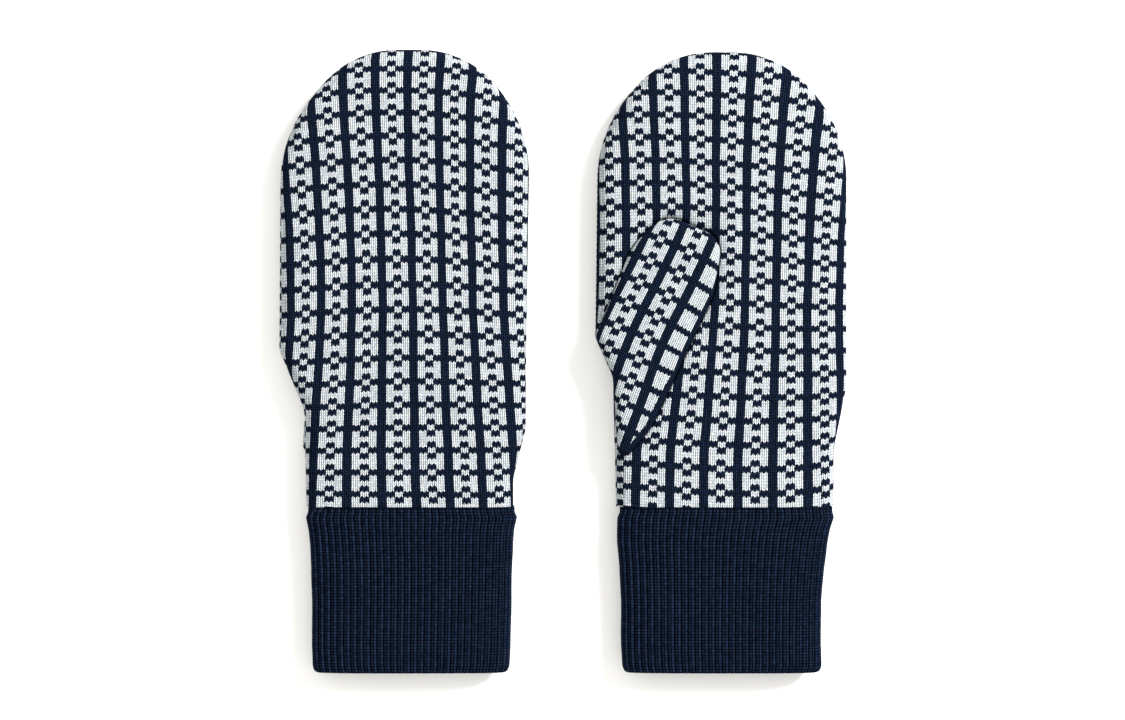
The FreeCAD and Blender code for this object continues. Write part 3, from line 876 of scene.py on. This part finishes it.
def lining_bag(hand, name, body, corners, depth, levels, rim, pressed):
    """A jersey bag inside a panel pair: one half for each side, joined along the edge.

    It lies in by a depth from the panels' outline. Levels are its seam's height and the rise of
    its halves, rim is the panels' rounding, and a pressed bag makes room for the folded thumb.
    """
    outline = inset(rounded_outline(corners), depth)
    low, high = outline.min(0), outline.max(0)
    middle, up, down = levels
    halves = []
    for side, height in ((1, up), (-1, down)):
        columns, rows = 70, 120
        piece, gx, gy = start_grid(f"{name}_jersey_{'palm' if side == 1 else 'back'}", columns, rows)
        x = low[0] - 3 + (high[0] - low[0] + 6) * gx / columns
        bottom = max(low[1] - 3, 0)
        y = bottom + (high[1] + 3 - bottom) * gy / rows
        places, _, _, outside = wrap_over_edge(
            np.column_stack([x, y]), outline, rim - depth, 0.0, height, HAND_CROWN
        )
        if pressed and side == 1:
            places[:, 2] += middle
            places = under_thumb(hand, places, rounded_outline(THUMB[hand]), depth)
            places[:, 2] -= middle
        places[:, 2] = middle + side * places[:, 2]
        place_vertices(piece, to_world(hand, places))
        map_stitches(piece, x / 1.2, y / 1.1)
        drop_faces(piece, outside)
        if side * PALM_UP[hand] < 0:
            piece.data.flip_normals()
        halves.append(piece)
    bpy.ops.object.select_all(action="DESELECT")
    for half in halves:
        half.select_set(True)
    bpy.context.view_layer.objects.active = halves[0]
    bpy.ops.object.join()
    bag = bpy.context.object
    bag.name = bag.data.name = f"{name}_jersey"
    finish_piece(bag, "lining_jersey", body, name)


def line_with_jersey(hand):
    """The jersey bags inside the hand and the thumb."""
    depth, wall = HAND_LINING
    levels = (SEAM_LEVEL, HAND_HALF - SEAM_LEVEL - wall, HAND_HALF + SEAM_LEVEL - wall)
    lining_bag(
        hand, f"{hand}_hand_lining", f"{hand}_hand", HAND[hand], depth, levels, HAND_RIM, True
    )
    depth, wall = THUMB_LINING
    half = THUMB_HALF[hand] - wall
    levels = (THUMB_MIDDLE[hand], half, half)
    lining_bag(
        hand, f"{hand}_thumb_lining", f"{hand}_thumb", THUMB[hand], depth, levels, THUMB_RIM, False
    )


# Stage


KEY_LIGHT = {"place": (1.9, 1.4, 1.9), "size": 1.0, "energy": 160, "colour": (1.0, 0.99, 0.97)}
FILL_LIGHT = {"place": (-0.6, -0.3, 1.9), "size": 2.2, "energy": 15, "colour": (1.0, 1.0, 1.0)}
SKY_COLOUR = (1.0, 0.985, 0.93)
SKY_STRENGTH = 0.9
PAPER = (0.95, 0.95, 0.95)
CAMERA_SPOT = (-0.0005, 0.0009)
SENSOR_WIDTH = 36  # in Blender's own millimetres


def soft_light(place, size, energy, colour):
    """A square light aimed at the mittens."""
    bpy.ops.object.light_add(type="AREA", location=place)
    light = bpy.context.object
    light.data.size = size
    light.data.energy = energy
    light.data.color = colour
    light.rotation_euler = (-Vector(place)).to_track_quat("-Z", "Y").to_euler()


# Operators


class PieceOperator:
    """Builds one kind of piece for both mittens."""

    bl_options = {"REGISTER", "UNDO"}

    def execute(self, context):
        for hand in HANDS:
            self.build(hand)
        return {"FINISHED"}


class MITTEN_OT_hand_panels(PieceOperator, bpy.types.Operator):
    """Knit the palm and back panels of both mittens"""

    bl_idname = "mitten.hand_panels"
    bl_label = "Hand Panels"

    def build(self, hand):
        for side in (1, -1):
            hand_panel(hand, side)


class MITTEN_OT_thumb_panels(PieceOperator, bpy.types.Operator):
    """Knit the front and rear panels of both thumbs"""

    bl_idname = "mitten.thumb_panels"
    bl_label = "Thumb Panels"

    def build(self, hand):
        for side in (1, -1):
            thumb_panel(hand, side)


class MITTEN_OT_gussets(PieceOperator, bpy.types.Operator):
    """Knit the gussets that join the thumbs to the palms"""

    bl_idname = "mitten.gussets"
    bl_label = "Thumb Gussets"

    def build(self, hand):
        thumb_gusset(hand)


class MITTEN_OT_cuffs(PieceOperator, bpy.types.Operator):
    """Knit the ribbed cuffs, folded double"""

    bl_idname = "mitten.cuffs"
    bl_label = "Rib Cuffs"

    def build(self, hand):
        rib_cuff(hand)


class MITTEN_OT_seams(PieceOperator, bpy.types.Operator):
    """Lay the seam yarn round the hands, the thumbs and the wrists"""

    bl_idname = "mitten.seams"
    bl_label = "Seams"

    def build(self, hand):
        loop = inset(rounded_outline(HAND[hand]), HAND_THREAD)
        above = loop[loop[:, 1] >= 0.2]
        start = int(np.argmax(np.linalg.norm(np.roll(above, 1, axis=0) - above, axis=1)))
        loop = np.roll(above, -start, axis=0)
        seam = f"{hand}_hand_side_seam"
        thread_round(f"{seam}_thread", hand, loop, SEAM_LEVEL, HAND_THREAD, f"{hand}_hand", seam)
        loop = inset(rounded_outline(THUMB[hand], 0.6), THUMB_THREAD / 2)
        seam = f"{hand}_thumb_side_seam"
        level = THUMB_MIDDLE[hand]
        thread_round(f"{seam}_thread", hand, loop, level, THUMB_THREAD, f"{hand}_thumb", seam)
        cuff_thread(hand)


class MITTEN_OT_linings(PieceOperator, bpy.types.Operator):
    """Give the linings their jersey"""

    bl_idname = "mitten.linings"
    bl_label = "Linings"

    def build(self, hand):
        line_with_jersey(hand)


class MITTEN_OT_stage(bpy.types.Operator):
    """Set up the floor, the soft light and the camera"""

    bl_idname = "mitten.stage"
    bl_label = "Stage"
    bl_options = {"REGISTER", "UNDO"}

    def execute(self, context):
        stage = context.scene.mitten_stage
        bpy.ops.object.select_all(action="DESELECT")
        bpy.ops.mesh.primitive_plane_add(size=12, location=(0, 0, 0))
        floor = context.object
        floor.name = "floor"
        shader = Shader("floor_paper")
        shader.surface.inputs["Base Color"].default_value = rgba(PAPER)
        shader.surface.inputs["Roughness"].default_value = 0.9
        shader.surface.inputs["Specular IOR Level"].default_value = 0.1
        floor.data.materials.append(shader.material)

        for light in (KEY_LIGHT, FILL_LIGHT):
            soft_light(**light)
        world = context.scene.world or bpy.data.worlds.new("studio")
        context.scene.world = world
        world.use_nodes = True
        background = world.node_tree.nodes["Background"]
        background.inputs["Color"].default_value = rgba(SKY_COLOUR)
        background.inputs["Strength"].default_value = SKY_STRENGTH
        context.scene.view_settings.view_transform = "Standard"
        context.scene.view_settings.look = "None"

        bpy.ops.object.camera_add(location=(*CAMERA_SPOT, stage.camera_height))
        camera = context.object
        camera.data.sensor_width = SENSOR_WIDTH
        camera.data.lens = SENSOR_WIDTH * stage.camera_height / stage.view_width
        context.scene.camera = camera
        return {"FINISHED"}


class MITTEN_PT_panel(bpy.types.Panel):
    """Lists the sizes, the yarns and the operators"""

    bl_label = "Knitted Mittens"
    bl_space_type = "VIEW_3D"
    bl_region_type = "UI"
    bl_category = "Mittens"

    def draw(self, context):
        for group in (context.scene.mitten_knit, context.scene.mitten_stage):
            for name in group.__annotations__:
                self.layout.prop(group, name)
        for operator in OPERATORS:
            self.layout.operator(operator.bl_idname)


GROUPS = {"mitten_knit": MittenKnit, "mitten_stage": MittenStage}
OPERATORS = (
    MITTEN_OT_hand_panels,
    MITTEN_OT_thumb_panels,
    MITTEN_OT_gussets,
    MITTEN_OT_cuffs,
    MITTEN_OT_seams,
    MITTEN_OT_linings,
    MITTEN_OT_stage,
)


def register():
    for cls in (*GROUPS.values(), *OPERATORS, MITTEN_PT_panel):
        bpy.utils.register_class(cls)
    for name, group in GROUPS.items():
        setattr(bpy.types.Scene, name, PointerProperty(type=group))


def unregister():
    for name in GROUPS:
        delattr(bpy.types.Scene, name)
    for cls in reversed((*GROUPS.values(), *OPERATORS, MITTEN_PT_panel)):
        bpy.utils.unregister_class(cls)


def main():
    register()
    for operator in OPERATORS:
        area, name = operator.bl_idname.split(".")
        getattr(getattr(bpy.ops, area), name)()


if __name__ == "__main__":
    main()
